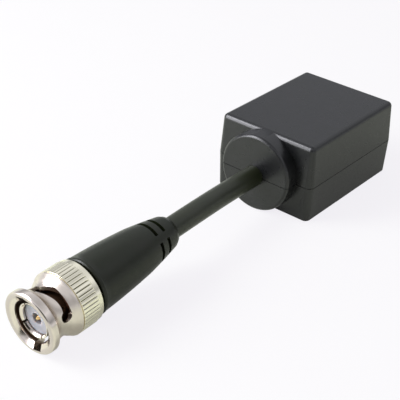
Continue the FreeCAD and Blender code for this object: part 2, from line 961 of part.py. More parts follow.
def make_plug_boot():
    start = boot_start()
    end = start + boot_length
    seat = body_neck_radius + fit_gap
    ferrule_outer = cable_radius + ferrule_wall + fit_gap
    profile = [
        (seat, start),
        (boot_bead_radius, start),
        (boot_bead_radius, start + boot_bead_length),
        (boot_radius, start + boot_bead_length),
        (boot_radius, start + boot_straight),
        (boot_end_radius, end - boot_end_edge),
        (boot_end_radius - boot_end_edge, end),
        (cable_radius + cable_bore_gap, end),
        (cable_radius + cable_bore_gap, ferrule_start() + ferrule_length + fit_gap),
        (ferrule_outer, ferrule_start() + ferrule_length + fit_gap),
        (ferrule_outer, ferrule_start() - fit_gap),
        (seat, ferrule_start() - fit_gap),
    ]
    boot = turned(profile)
    for row, floor_radius in enumerate(boot_slot_floors):
        boot = boot.cut(boot_slot_row(start + boot_slot_first + row * boot_slot_pitch, floor_radius))
    return boot


def boot_slot_row(place, floor_radius):
    """Slots round the boot in one row, with bridges left between them."""
    half = boot_slot_width / 2
    ring = tube(boot_radius, floor_radius, place - half, place + half)
    for index in range(boot_slots_round):
        bridge = block(0, boot_radius + overcut, -boot_bridge_width / 2, boot_bridge_width / 2,
                       place - half, place + half)
        bridge.rotate(Vector(0, 0, 0), Vector(0, 0, 1), boot_bridge_angle + index * 360.0 / boot_slots_round)
        ring = ring.cut(bridge)
    return ring


# Every piece of the housing
save(make_upper_shell(), "upper_shell")
save(make_lower_shell(), "lower_shell")
save(make_circuit_board(), "circuit_board")
save(make_jack_housing(), "jack_housing")
save(make_jack_carrier(), "jack_contact_carrier")
save(make_jack_contacts(), "jack_contacts")
save(make_transformer_core(), "transformer_core")
save(make_winding(0), "primary_winding")
save(make_winding(180), "secondary_winding")
save(chip(suppressor_size, suppressor_place), "surge_suppressor")
save(chip(capacitor_size, capacitor_place), "filter_capacitor")
save(chip(resistor_size, resistor_place), "matching_resistor")
save(make_clamp_ring(), "cable_clamp_ring")
save(make_board_end_dielectric(), "board_end_dielectric")
save(make_board_end_conductor(), "board_end_conductor")
save(make_board_end_braid(), "board_end_braid")

# The cable and every piece of the plug
save(make_cable(), "cable")
save(lay_down(make_plug_boot()), "plug_boot")
save(lay_down(make_crimp_ferrule()), "crimp_ferrule")
save(lay_down(make_plug_end_braid()), "plug_end_braid")
save(lay_down(make_plug_end_dielectric()), "plug_end_dielectric")
save(lay_down(make_plug_end_conductor()), "plug_end_conductor")
save(lay_down(make_plug_body()), "plug_body")
save(lay_down(make_plug_insulator()), "plug_insulator")
save(lay_down(make_centre_pin()), "centre_pin")
save(lay_down(make_plug_gasket()), "plug_gasket")
save(lay_down(make_wave_spring()), "wave_spring")
save(lay_down(make_thrust_washer()), "thrust_washer")
save(lay_down(make_coupling_nut()), "coupling_nut")
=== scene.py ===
# %% [markdown]
# # A camera cable adapter, dressed for its picture
#
# The object is a small black box. A modular jack sits in its rear, and a short coaxial pigtail leaves a
# round collar in its front. The pigtail ends in a moulded boot and a nickel plated bayonet plug.
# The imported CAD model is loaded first. It gives every piece its place, so nothing here is placed by eye.
# Lengths are in metres, +Z is up, and +Y points from the plug to the jack.

import math

import bmesh
import bpy
import numpy as np
from mathutils import Matrix, Vector


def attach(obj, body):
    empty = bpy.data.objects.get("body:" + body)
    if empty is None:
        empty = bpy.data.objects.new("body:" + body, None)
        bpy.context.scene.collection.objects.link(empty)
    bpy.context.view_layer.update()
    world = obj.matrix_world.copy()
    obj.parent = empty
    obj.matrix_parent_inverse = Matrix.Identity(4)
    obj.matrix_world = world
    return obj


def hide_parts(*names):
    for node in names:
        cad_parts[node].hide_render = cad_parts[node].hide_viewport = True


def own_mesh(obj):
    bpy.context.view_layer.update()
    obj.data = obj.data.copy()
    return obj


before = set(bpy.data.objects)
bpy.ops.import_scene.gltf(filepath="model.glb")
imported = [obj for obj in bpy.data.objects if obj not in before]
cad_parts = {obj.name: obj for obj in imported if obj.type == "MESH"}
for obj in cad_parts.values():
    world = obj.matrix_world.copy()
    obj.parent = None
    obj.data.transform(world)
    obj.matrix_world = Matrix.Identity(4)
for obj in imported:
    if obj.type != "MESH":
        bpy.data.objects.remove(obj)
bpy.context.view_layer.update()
MM = 0.001


def in_scene(name, data):
    """A new object in the scene that shows some data."""
    made = bpy.data.objects.new(name, data)
    bpy.context.collection.objects.link(made)
    return made


# %% [markdown]
# ## The camera
#
# The camera stands where the photographer's stood. Its place and its focal length come from a fit of the
# housing's corners and the plug's outline to the picture, which is 400 pixels square. The lens is a mild
# telephoto, so the box shows only a little perspective.

# %% Camera
camera_data = bpy.data.cameras.new("camera")
camera = in_scene("camera", camera_data)
bpy.context.scene.camera = camera

camera_place = Vector((125.674, -199.772, 134.28)) * MM
azimuth, elevation, roll = (math.radians(angle) for angle in (38.354, 31.226, 2.742))
right = Vector((math.cos(azimuth), math.sin(azimuth), 0))
back = Vector((math.sin(azimuth) * math.cos(elevation),
               -math.cos(azimuth) * math.cos(elevation),
               math.sin(elevation)))
up = back.cross(right)
right, up = (right * math.cos(roll) + up * math.sin(roll),
             up * math.cos(roll) - right * math.sin(roll))
turn = Matrix((right, up, back)).transposed()
camera.matrix_world = Matrix.Translation(camera_place) @ turn.to_4x4()

focal_pixels = 1036.66
picture_pixels = 400
camera_data.sensor_width = 36
camera_data.lens = focal_pixels * camera_data.sensor_width / picture_pixels
camera_data.clip_start = 0.01
print("lens", round(camera_data.lens, 1), "mm")

# %% [markdown]
# ## The plug's own frame
#
# The plug lies on the table at a small slope. Its turned pieces are easiest to describe about their own
# axis, with lengths counted from the front face of the coupling nut towards the cable. One matrix lays
# them down where the CAD has them.

# %% Plug frame
plug_turn, plug_rise = math.radians(0.65), math.radians(4.07)
plug_axis = Vector((math.sin(plug_turn) * math.cos(plug_rise),
                    math.cos(plug_turn) * math.cos(plug_rise),
                    math.sin(plug_rise)))
plug_side = Vector((-math.cos(plug_turn), math.sin(plug_turn), 0))
plug_up = plug_axis.cross(plug_side)
flange_radius = 7.1
lip_edge = 0.5
table_gap = 0.02
plug_height = flange_radius * math.cos(plug_rise) - lip_edge * math.sin(plug_rise) + table_gap
plug_front = Vector((1.1, -94.5, plug_height)) * MM
PLUG = Matrix.Translation(plug_front) @ Matrix((plug_side, plug_up, plug_axis)).transposed().to_4x4()


def on_plug(place):
    """A point on the plug's axis, some millimetres behind the nut's front face."""
    return plug_front + plug_axis * place * MM


def turned_point(matrix, r, angle, z):
    """A point at a radius, an angle and a height about the local Z axis, in millimetres."""
    return matrix @ (Vector((r * math.cos(angle), r * math.sin(angle), z)) * MM)


print("plug front", [round(v / MM, 2) for v in plug_front])

# %% [markdown]
# ## The pigtail
#
# The cable is a short piece of thin coax. It leaves the collar on the parting plane, straight back, and
# reaches the plug in a shallow bow. A NURBS curve with the route's corners as its control points gives
# one smooth line, where a row of straight runs would look like bent wire. Its points carry the cable's
# radius, because Blender adds that radius to the box that it measures round a curve, and the bevel then
# has a depth of one. It shows from end to end, so its length is the length that the picture shows.

# %% Cable
cable_diameter = 5.2
parting_height = 9.4
collar_face = -20.465
ferrule_end = 32.12
run_at_plug = 17.5
run_at_collar = 7.5
cable_end = -10.535

cable_data = bpy.data.curves.new("pigtail_cable", "CURVE")
cable_data.dimensions = "3D"
route = [Vector((0, cable_end, parting_height)) * MM,
         Vector((0, collar_face - run_at_collar, parting_height)) * MM,
         on_plug(ferrule_end + run_at_plug),
         on_plug(ferrule_end)]
line = cable_data.splines.new("NURBS")
line.points.add(len(route) - 1)
for point, place in zip(line.points, route):
    point.co = (*place, 1)
    point.radius = cable_diameter / 2 * MM
line.order_u = 3
line.use_endpoint_u = True
line.resolution_u = 24
cable_data.bevel_depth = 1.0
cable_data.bevel_resolution = 12
cable_data.use_fill_caps = True
cable = in_scene("pigtail_cable", cable_data)
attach(cable, "box_and_cable")
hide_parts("cable")
print("cable runs", [round((b - a).length / MM, 1) for a, b in zip(route, route[1:])], "mm")

# %% [markdown]
# ## Surface detail
#
# Real surfaces are never one flat colour. A photograph of the surface could be wrapped round the piece,
# but a noise that is worked out from the place in space needs no wrapping and has no seams. It can be
# turned into a run between two colours, or into a bump that bends the light.

# %% Noise, ramp and bump
def blank_material(name):
    """A new material with its node tree, its shader and the place in space that its noises read."""
    material = bpy.data.materials.new(name)
    material.use_nodes = True
    tree = material.node_tree
    place = tree.nodes.new("ShaderNodeTexCoord").outputs["Object"]
    return material, tree, tree.nodes["Principled BSDF"], place


def noise(tree, coordinates, size, detail=2.0):
    """A noise whose blobs are about so many millimetres across."""
    node = tree.nodes.new("ShaderNodeTexNoise")
    node.inputs["Scale"].default_value = 1 / (size * MM)
    node.inputs["Detail"].default_value = detail
    tree.links.new(coordinates, node.inputs["Vector"])
    return node.outputs["Fac"]


def ramp(tree, factor, low, high):
    """Turns the middle of a noise into a run from one colour or grey to another."""
    node = tree.nodes.new("ShaderNodeValToRGB")
    for element, place, value in zip(node.color_ramp.elements, (0.3, 0.7), (low, high)):
        element.position = place
        element.color = (*value, 1) if hasattr(value, "__len__") else (value, value, value, 1)
    tree.links.new(factor, node.inputs["Fac"])
    return node.outputs["Color"]


def bump(tree, height, depth):
    """A bump whose full height is so many millimetres."""
    node = tree.nodes.new("ShaderNodeBump")
    node.inputs["Strength"].default_value = 1
    node.inputs["Distance"].default_value = depth * MM
    tree.links.new(height, node.inputs["Height"])
    return node.outputs["Normal"]


print("surface helpers ready")

# %% [markdown]
# ## Moulded plastics
#
# The housing, the boot, the cable and the white insulator are all moulded. The steel of the mould leaves
# a fine grain, the sheen wanders a little, and the pigment is not quite even. Three noises at three scales
# give that: the grain bends the normal, the middle noise moves the roughness, and the broad one moves the
# colour. The soft PVC of the boot and the cable is a little greener and duller than the hard box. The
# insulator also lets light in under its surface, as such a plastic does.

# %% Moulded plastic
def moulded(name, dark, light, satin, dull, grain, depth, patch=3.0, gloss=0.5):
    """A moulded plastic or rubber: two close colours, two roughnesses and a surface grain."""
    material, tree, shader, place = blank_material(name)
    shader.inputs["Specular IOR Level"].default_value = gloss
    tree.links.new(ramp(tree, noise(tree, place, patch), dark, light), shader.inputs["Base Color"])
    tree.links.new(ramp(tree, noise(tree, place, patch / 4, 4), satin, dull), shader.inputs["Roughness"])
    tree.links.new(bump(tree, noise(tree, place, grain, 3), depth), shader.inputs["Normal"])
    return material


housing_plastic = moulded(
    "housing plastic", (0.0055, 0.0062, 0.0064), (0.0085, 0.0084, 0.0098),
    satin=0.27, dull=0.33, grain=0.1, depth=0.003, gloss=0.55)
cable_pvc = moulded(
    "cable jacket", (0.0150, 0.0190, 0.0070), (0.0200, 0.0230, 0.0105),
    satin=0.32, dull=0.40, grain=0.3, depth=0.004, patch=5.0, gloss=0.46)
boot_pvc = moulded(
    "boot plastic", (0.0070, 0.0105, 0.0028), (0.0110, 0.0125, 0.0058),
    satin=0.31, dull=0.39, grain=0.18, depth=0.004, patch=4.0, gloss=0.34)
jack_plastic = moulded(
    "jack plastic", (0.008, 0.008, 0.008), (0.012, 0.012, 0.012),
    satin=0.28, dull=0.38, grain=0.2, depth=0.002)
insulator_plastic = moulded(
    "white insulator", (0.31, 0.305, 0.35), (0.37, 0.365, 0.41),
    satin=0.3, dull=0.42, grain=0.15, depth=0.002)
dielectric_plastic = moulded(
    "cable dielectric", (0.72, 0.72, 0.70), (0.82, 0.82, 0.80),
    satin=0.4, dull=0.5, grain=0.2, depth=0.003)
gasket_rubber = moulded(
    "gasket rubber", (0.10, 0.035, 0.02), (0.14, 0.05, 0.03),
    satin=0.5, dull=0.65, grain=0.15, depth=0.004)
board_laminate = moulded(
    "solder mask", (0.02, 0.13, 0.05), (0.03, 0.17, 0.07),
    satin=0.25, dull=0.4, grain=0.4, depth=0.004)
chip_resin = moulded(
    "chip resin", (0.015, 0.015, 0.016), (0.025, 0.025, 0.026),
    satin=0.45, dull=0.6, grain=0.1, depth=0.004, patch=1.0)
capacitor_ceramic = moulded(
    "capacitor ceramic", (0.36, 0.26, 0.15), (0.44, 0.32, 0.19),
    satin=0.4, dull=0.5, grain=0.1, depth=0.003, patch=1.0)
ferrite = moulded(
    "ferrite", (0.05, 0.05, 0.055), (0.09, 0.09, 0.095),
    satin=0.5, dull=0.65, grain=0.1, depth=0.006, patch=1.0)

insulator_shader = insulator_plastic.node_tree.nodes["Principled BSDF"]
insulator_shader.inputs["Subsurface Weight"].default_value = 1.0
insulator_shader.inputs["Subsurface Scale"].default_value = 1.5 * MM
insulator_shader.inputs["Subsurface Radius"].default_value = (1.0, 0.75, 0.65)
print(len(bpy.data.materials), "materials so far")

# %% [markdown]
# ## Zones on a turned piece
#
# The nut isn't the same all over: its front rim gets a painted shade that dims its reflection, its waist
# is satin, its grip is polished by fingers, its grooves are darkened with painted shade, and the inside of
# the tube is painted brown as shade. Such a zone could be painted on by hand. On a turned piece two
# measures mark it out, the distance from the axis and the place along it, so a few map ranges do the same.

# %% Zones
def between(tree, value, low, high):
    """0 below one limit, 1 above the other. The limits may also run downwards."""
    node = tree.nodes.new("ShaderNodeMapRange")
    node.interpolation_type = "SMOOTHSTEP"
    node.inputs["From Min"].default_value = low
    node.inputs["From Max"].default_value = high
    tree.links.new(value, node.inputs["Value"])
    return node.outputs["Result"]


def mixed(tree, factor, first, second):
    """A linked colour for a factor of 0, and a plain one for 1."""
    node = tree.nodes.new("ShaderNodeMix")
    node.data_type = "RGBA"
    tree.links.new(factor, node.inputs["Factor"])
    tree.links.new(first, node.inputs["A"])
    node.inputs["B"].default_value = second
    return node.outputs["Result"]


def in_zone(tree, radius, place, clean, zone, tone, fade=0.3):
    """Changes a value to a tone where the radius falls from outer to inner, from start to end."""
    outer, inner, start, end = zone
    factor = between(tree, radius, outer * MM, inner * MM)
    for first, second in ((start, start + fade), (end, end - fade)):
        limit = between(tree, place, first * MM, second * MM)
        product = tree.nodes.new("ShaderNodeMath")
        product.operation = "MULTIPLY"
        tree.links.new(factor, product.inputs[0])
        tree.links.new(limit, product.inputs[1])
        factor = product.outputs["Value"]
    return mixed(tree, factor, clean, tone)


print("zone helpers ready")

# %% [markdown]
# ## Plated and bare metal
#
# The nut and the plug's body are turned from brass and nickel plated. Plating keeps the fine rings that
# the lathe left, and its sheen wanders a little. A noise read in space would give blobs, so it is read
# along the radius and the axis of the plug only, and draws out into rings round that axis.

# %% Turned metal
def turned_metal(name, dark, light, bright, dull, ring, depth, zones=()):
    """A turned and plated metal: lathe rings round the plug's axis under a soft smudge. Each zone is a
    reach of the surface with its own colour and roughness: plating that differs, or painted shade."""
    material, tree, shader, place = blank_material(name)
    shader.inputs["Metallic"].default_value = 1
    local = tree.nodes.new("ShaderNodeMapping")
    local.vector_type = "TEXTURE"
    local.inputs["Location"].default_value = PLUG.translation
    local.inputs["Rotation"].default_value = PLUG.to_euler()
    tree.links.new(place, local.inputs["Vector"])
    parts = tree.nodes.new("ShaderNodeSeparateXYZ")
    tree.links.new(local.outputs["Vector"], parts.inputs["Vector"])
    along = parts.outputs["Z"]
    flat = tree.nodes.new("ShaderNodeCombineXYZ")
    tree.links.new(parts.outputs["X"], flat.inputs["X"])
    tree.links.new(parts.outputs["Y"], flat.inputs["Y"])
    length = tree.nodes.new("ShaderNodeVectorMath")
    length.operation = "LENGTH"
    tree.links.new(flat.outputs["Vector"], length.inputs[0])
    radius = length.outputs["Value"]
    rings = tree.nodes.new("ShaderNodeCombineXYZ")
    tree.links.new(radius, rings.inputs["X"])
    tree.links.new(along, rings.inputs["Y"])
    colour = ramp(tree, noise(tree, place, 2.5), dark, light)
    sheen = ramp(tree, noise(tree, place, 1.2, 4), bright, dull)
    for zone, tone, roughness in zones:
        colour = in_zone(tree, radius, along, colour, zone, (*tone, 1))
        sheen = in_zone(tree, radius, along, sheen, zone, (roughness, roughness, roughness, 1))
    tree.links.new(colour, shader.inputs["Base Color"])
    tree.links.new(sheen, shader.inputs["Roughness"])
    lathe = noise(tree, rings.outputs["Vector"], ring, 2)
    tree.links.new(bump(tree, lathe, depth), shader.inputs["Normal"])
    return material


nickel_dark, nickel_light = (0.665, 0.597, 0.535), (0.775, 0.70, 0.63)
# The front rim's tone is painted shade, a darker colour that dims the bright floor and lamp it reflects.
painted_rim_shade, satin, polished = (0.60, 0.53, 0.51), (0.70, 0.63, 0.56), (0.90, 0.855, 0.69)
# The grooves' tone is painted shade that darkens the cuts of the knurl.
painted_groove_shade, painted_bore_shade = (0.36, 0.34, 0.25), (0.09, 0.05, 0.03)
# The brown inside the nut's tube is painted shade with a warm cast, where little light reaches in.
nut_zones = [((9.0, 8.0, -1.0, 0.35), painted_rim_shade, 0.18),
             ((9.0, 8.0, 2.0, 8.2), satin, 0.3),
             ((9.0, 8.0, 8.1, 14.3), polished, 0.2),
             ((7.24, 7.1, 8.4, 12.6), painted_groove_shade, 0.5),
             ((5.1, 5.0, 0.9, 20), painted_bore_shade, 0.5)]
# The brown inside the body's tube is the same painted shade.
body_zones = [((4.7, 4.6, 1.9, 50), painted_bore_shade, 0.5)]

nickel = turned_metal("bright nickel", nickel_dark, nickel_light, bright=0.12, dull=0.2,
                      ring=0.12, depth=0.0006, zones=nut_zones)
body_nickel = turned_metal("nickel on the body", nickel_dark, nickel_light, bright=0.14, dull=0.22,
                           ring=0.12, depth=0.0006, zones=body_zones)
gold = turned_metal("gold plate", (0.86, 0.60, 0.26), (0.95, 0.70, 0.36), bright=0.16, dull=0.26,
                    ring=0.15, depth=0.0005)
copper = turned_metal("bare copper", (0.72, 0.36, 0.2), (0.82, 0.44, 0.26), bright=0.2, dull=0.35,
                      ring=0.2, depth=0.0006)
enamel = turned_metal("enamelled copper", (0.42, 0.13, 0.05), (0.5, 0.17, 0.07), bright=0.2, dull=0.3,
                      ring=0.2, depth=0.0004)
steel = turned_metal("spring steel", (0.5, 0.5, 0.5), (0.6, 0.6, 0.6), bright=0.2, dull=0.32,
                     ring=0.15, depth=0.0006)
print(len(bpy.data.materials), "materials so far")

# %% [markdown]
# ## Pieces that keep their CAD shape
#
# The jack, the board with its small parts, the inside of the plug and the stripped wire ends are right as
# the CAD has them. They only need their finish.

# %% Finishes for the CAD pieces
finishes = {
    "jack_housing": jack_plastic,
    "jack_contact_carrier": jack_plastic,
    "jack_contacts": gold,
    "circuit_board": board_laminate,
    "transformer_core": ferrite,
    "primary_winding": enamel,
    "secondary_winding": enamel,
    "surge_suppressor": chip_resin,
    "filter_capacitor": capacitor_ceramic,
    "matching_resistor": chip_resin,
    "cable_clamp_ring": steel,
    "board_end_dielectric": dielectric_plastic,
    "board_end_conductor": copper,
    "board_end_braid": copper,
    "crimp_ferrule": nickel,
    "plug_end_braid": copper,
    "plug_end_dielectric": dielectric_plastic,
    "plug_end_conductor": copper,
    "plug_body": body_nickel,
    "plug_insulator": insulator_plastic,
    "centre_pin": gold,
    "plug_gasket": gasket_rubber,
    "thrust_washer": steel,
}
for node, finish in finishes.items():
    for material_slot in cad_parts[node].material_slots:
        material_slot.material = finish
cable_data.materials.append(cable_pvc)
print(len(finishes), "CAD pieces have their finish")

# %% [markdown]
# ## Meshes from rings
#
# The pieces that carry the look are made again with finer curves. Each is a stack of closed rings joined
# by quads. A ring can be a circle round the plug's axis or the outline of the box, and the rings crowd
# together where an edge is rounded, because an edge without a radius catches no light.

# %% Ring stacks
def add_piece(name, corners, faces, finish, cad_slot, *nodes):
    """A named mesh. With a finish, it is a piece of the object and stands for some CAD nodes."""
    mesh = bpy.data.meshes.new(name)
    mesh.from_pydata([tuple(corner) for corner in corners], [], faces)
    piece = in_scene(name, mesh)
    if finish is not None:
        mesh.materials.append(finish)
        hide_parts(*nodes)
    return piece


def ring_faces(rings, size, closed):
    """Quads between rings of one size, and either a last band back to the first ring or two end caps."""
    faces = []
    for row in range(rings if closed else rings - 1):
        low, high = row * size, (row + 1) % rings * size
        for index in range(size):
            after = (index + 1) % size
            faces.append((low + index, low + after, high + after, high + index))
    if not closed:
        faces.append(tuple(range(size - 1, -1, -1)))
        faces.append(tuple(range((rings - 1) * size, rings * size)))
    return faces


def spun(profile, segments, matrix, drop=None):
    """Corners and faces of a closed profile turned once round local Z. drop(index, r, z) lowers the
    radius of one corner."""
    corners = []
    for r, z in profile:
        for index in range(segments):
            here = r - (drop(index, r, z) if drop else 0)
            corners.append(turned_point(matrix, here, 2 * math.pi * index / segments, z))
    return corners, ring_faces(len(profile), segments, True)


print("ring helpers ready")

# %% [markdown]
# ## Profiles and their edges
#
# A turned piece starts as half of its section: a closed line of radius and place. Each corner of the line
# can name a fillet, and long stretches can bulge a little, as a form tool or a mould leaves them. A bevel
# modifier could round the edges afterwards, but it rounds them all alike.

# %% Profiles
def soften(points, steps=4):
    """Rounds the corners of a closed (radius, place, fillet) profile."""
    outline = []
    for index, (x, y, fillet) in enumerate(points):
        if not fillet:
            outline.append((x, y))
            continue
        here = Vector((x, y))
        before = (Vector(points[index - 1][:2]) - here).normalized()
        after = (Vector(points[(index + 1) % len(points)][:2]) - here).normalized()
        half_angle = before.angle(after) / 2
        reach = fillet / math.tan(half_angle)
        centre = here + (before + after).normalized() * fillet / math.sin(half_angle)
        first = here + before * reach - centre
        last = here + after * reach - centre
        sweep = first.angle(last)
        for step in range(steps + 1):
            share = step / steps
            spoke = math.sin((1 - share) * sweep) * first + math.sin(share * sweep) * last
            outline.append(tuple(centre + spoke / math.sin(sweep)))
    return outline


def bulge(start, end, rise, steps):
    """Points on a shallow arc between two (radius, place) points, without its two ends."""
    (r0, z0), (r1, z1) = start, end
    chord = math.hypot(r1 - r0, z1 - z0)
    points = []
    for step in range(1, steps):
        share = step / steps
        height = rise * (1 - (2 * share - 1) ** 2)
        points.append((r0 + (r1 - r0) * share + (z1 - z0) / chord * height,
                       z0 + (z1 - z0) * share + (r0 - r1) / chord * height, 0))
    return points


def smooth(piece, degrees=32):
    """Turns the faces outward, rounds the shading over small angles and keeps real edges crisp."""
    mesh = piece.data
    work = bmesh.new()
    work.from_mesh(mesh)
    bmesh.ops.remove_doubles(work, verts=work.verts, dist=0.002 * MM)
    bmesh.ops.recalc_face_normals(work, faces=work.faces)
    bmesh.ops.dissolve_limit(work, angle_limit=math.radians(0.1), verts=work.verts, edges=work.edges)
    work.to_mesh(mesh)
    work.free()
    mesh.polygons.foreach_set("use_smooth", [True] * len(mesh.polygons))
    mesh.set_sharp_from_angle(angle=math.radians(degrees))
    weighted = piece.modifiers.new("weighted normals", "WEIGHTED_NORMAL")
    weighted.keep_sharp = True


print("profile helpers ready")

# %% [markdown]
# ## Cutting
#
# Slots, windows and bores are taken out with a boolean, as a mill would take them out of the finished
# blank. The result is kept as a plain mesh, and the cutter is thrown away.

# %% Cutting tools
def box_of(name, x0, x1, y0, y1, z0, z1):
    """A box between two corners, in millimetres."""
    around = ((x0, y0), (x1, y0), (x1, y1), (x0, y1))
    corners = [Vector((x, y, z)) * MM for z in (z0, z1) for x, y in around]
    return add_piece(name, corners, ring_faces(2, 4, False), None, None)


def rod_of(name, radius, start, length, segments=96):
    """A round rod along +Y from a point, in millimetres."""
    corners = []
    for y in (start[1], start[1] + length):
        for index in range(segments):
            angle = 2 * math.pi * (index + 0.5) / segments
            x, z = start[0] + radius * math.cos(angle), start[2] + radius * math.sin(angle)
            corners.append(Vector((x, y, z)) * MM)
    return add_piece(name, corners, ring_faces(2, segments, False), None, None)


def carve(piece, tool, operation="DIFFERENCE"):
    """Combines a piece with a tool for good and removes the tool. Cut faces get the piece's own finish."""
    tool.data.materials.clear()
    for finish in piece.data.materials:
        tool.data.materials.append(finish)
    for item in (piece, tool):
        work = bmesh.new()
        work.from_mesh(item.data)
        bmesh.ops.recalc_face_normals(work, faces=work.faces)
        work.to_mesh(item.data)
        work.free()
    cut = piece.modifiers.new("cut", "BOOLEAN")
    cut.object = tool
    cut.operation = operation
    cut.solver = "MANIFOLD"
    bpy.context.view_layer.update()
    made = bpy.data.meshes.new_from_object(piece.evaluated_get(bpy.context.evaluated_depsgraph_get()))
    piece.modifiers.clear()
    piece.data = made
    bpy.data.objects.remove(tool)
    return piece


print("cutting tools ready")

# %% [markdown]
# ## The housing
#
# The box is two shells that meet on the cable's axis. Their walls lean in by about half a millimetre, as
# walls must to leave a mould. Each half is a stack of rounded rectangles: the inset grows with the draft
# and then sweeps round the edge of the roof. A cube with a bevel would have upright walls and the same
# radius everywhere.

# %% Housing outline
half_width = 14.25
front, rear = -16.865, 20.465
box_height = 20.1
draft_above, draft_below = 0.55, 0.38
upright_radius = 1.8
roof_radius, floor_radius = 1.3, 0.35


def box_outline(inset, z, steps=10):
    """One rounded rectangle of the box. Its corners keep their centres as long as their radius allows."""
    radius = max(upright_radius - inset, 0.1)
    shift = inset + radius
    corners = []
    for x, y, start in ((1, 1, 0), (-1, 1, 90), (-1, -1, 180), (1, -1, 270)):
        centre_x = x * (half_width - shift)
        centre_y = rear - shift if y > 0 else front + shift
        for step in range(steps + 1):
            angle = math.radians(start + 90 * step / steps)
            corner = (centre_x + radius * math.cos(angle), centre_y + radius * math.sin(angle), z)
            corners.append(Vector(corner) * MM)
    return corners


def box_stack(outlines):
    """Corners and faces of a pile of (inset, height) outlines."""
    corners = [corner for inset, z in outlines for corner in box_outline(inset, z)]
    return corners, ring_faces(len(outlines), len(corners) // len(outlines), False)


def wall_levels(edge, draft, edge_radius, rise, steps=8):
    """Insets from the parting plane to a rounded outer edge. rise is 1 for the roof, -1 for the floor."""
    levels = [(0.0, parting_height)]
    shoulder = edge - rise * edge_radius
    for step in range(steps + 1):
        angle = math.radians(90 * step / steps)
        levels.append((draft + edge_radius * (1 - math.cos(angle)),
                       shoulder + rise * edge_radius * math.sin(angle)))
    return levels


print("outline of", len(box_outline(0, 0)), "corners")

# %% [markdown]
# ## Two halves with a collar
#
# The collar is half a turned disc with a radius on its rim, joined to each half. Then the room for the
# board, the cable's bore and the jack's window are cut out. Where the halves meet, the lap joint leaves a
# hairline gap. It is cut as a real groove, and that makes the fine dark line round the box.

# %% Housing halves
collar_radius, rim_radius = 9.95, 0.8
collar_height = box_height / 2
collar_blank_bore = 2.0
groove_half, groove_depth = 0.07, 0.3
wall = 1.6
bore_clearance = 0.05
cavity = (-12.1, 12.1, -14.715, 18.315, 1.5, 18.6)
jack_window = (-8.07, 8.07, 17, 21, 4.08, 17.62)
past_x, past_y = 30, 40
spare = 1


def parting_gap():
    """A slab about the parting plane, without the core where the two halves touch."""
    low, high = parting_height - groove_half, parting_height + groove_half
    slab = box_of("gap", -past_x, past_x, -past_y, past_y, low, high)
    corners, faces = box_stack([(groove_depth, low - spare), (groove_depth, high + spare)])
    carve(slab, add_piece("core", corners, faces, None, None))
    reach = math.sqrt(collar_radius ** 2 - (collar_height - parting_height) ** 2) - groove_depth
    core = box_of("core", -reach, reach, collar_face + groove_depth, front + 2 * spare,
                  low - spare, high + spare)
    return carve(slab, core)


def shell(name, edge, draft, edge_radius, rise, node):
    """One half of the housing with its half of the collar."""
    corners, faces = box_stack(wall_levels(edge, draft, edge_radius, rise))
    half = add_piece(name, corners, faces, housing_plastic, "housing_plastic", node)
    rim = soften([(collar_blank_bore, collar_face, 0), (collar_radius, collar_face, rim_radius),
                  (collar_radius, front + wall, 0), (collar_blank_bore, front + wall, 0)], 8)
    raised = Matrix.Translation(Vector((0, 0, collar_height)) * MM)
    corners, faces = spun(rim, 160, raised @ Matrix.Rotation(math.radians(-90), 4, "X"))
    disc = add_piece("collar", corners, faces, None, None)
    low, high = sorted((parting_height, parting_height + rise * past_x))
    carve(disc, box_of("keep", -past_x, past_x, -past_y, past_y, low, high), "INTERSECT")
    carve(half, disc, "UNION")
    carve(half, parting_gap())
    carve(half, box_of("room", *cavity))
    bore_start = (0, collar_face - spare, parting_height)
    bore_length = front + wall - collar_face + 3 * spare
    carve(half, rod_of("bore", cable_diameter / 2 + bore_clearance, bore_start, bore_length))
    carve(half, box_of("window", *jack_window))
    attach(half, "box_and_cable")
    smooth(half)
    print(name, len(half.data.polygons), "faces")


shell("housing_upper_half", box_height, draft_above, roof_radius, 1, "upper_shell")
shell("housing_lower_half", 0.0, draft_below, floor_radius, -1, "lower_shell")

# %% [markdown]
# ## The boot
#
# The boot is moulded over the crimp. It swells gently behind a thin bead at its mouth, then tapers to the
# cable. It could be a curve with a changing bevel, but a spun profile also gives it its bead, its end
# radius and its bore. Two rows of short slots near its end let it bend, and the web between them faces
# the camera.

# %% Boot
boot_start = 14.7
boot_end = boot_start + 26.2
mouth_radius, mouth_end = 4.55, 20.1
pocket_radius, pocket_end = 3.1, 32.2
cable_hole = 2.63
bead_radius = 6.72
behind_bead = (6.6, boot_start + 1.0)
cone = (5.55, boot_start + 16.0)
tail = (3.95, boot_end - 1.2)
boot_profile = soften(
    [(mouth_radius, boot_start, 0), (6.45, boot_start, 0.12), (bead_radius, boot_start + 0.3, 0.15),
     (bead_radius, boot_start + 0.75, 0.15), (*behind_bead, 0)]
    + bulge(behind_bead, cone, 0.14, 14) + [(*cone, 0)] + bulge(cone, tail, 0.06, 8)
    + [(*tail, 0.8), (3.45, boot_end - 0.2, 0.2), (3.1, boot_end, 0.15), (cable_hole, boot_end, 0),
       (cable_hole, pocket_end, 0), (pocket_radius, pocket_end, 0), (pocket_radius, mouth_end, 0),
       (mouth_radius, mouth_end, 0)])
corners, faces = spun(boot_profile, 160, PLUG)
boot = add_piece("moulded_boot", corners, faces, boot_pvc, "boot_plastic", "plug_boot")


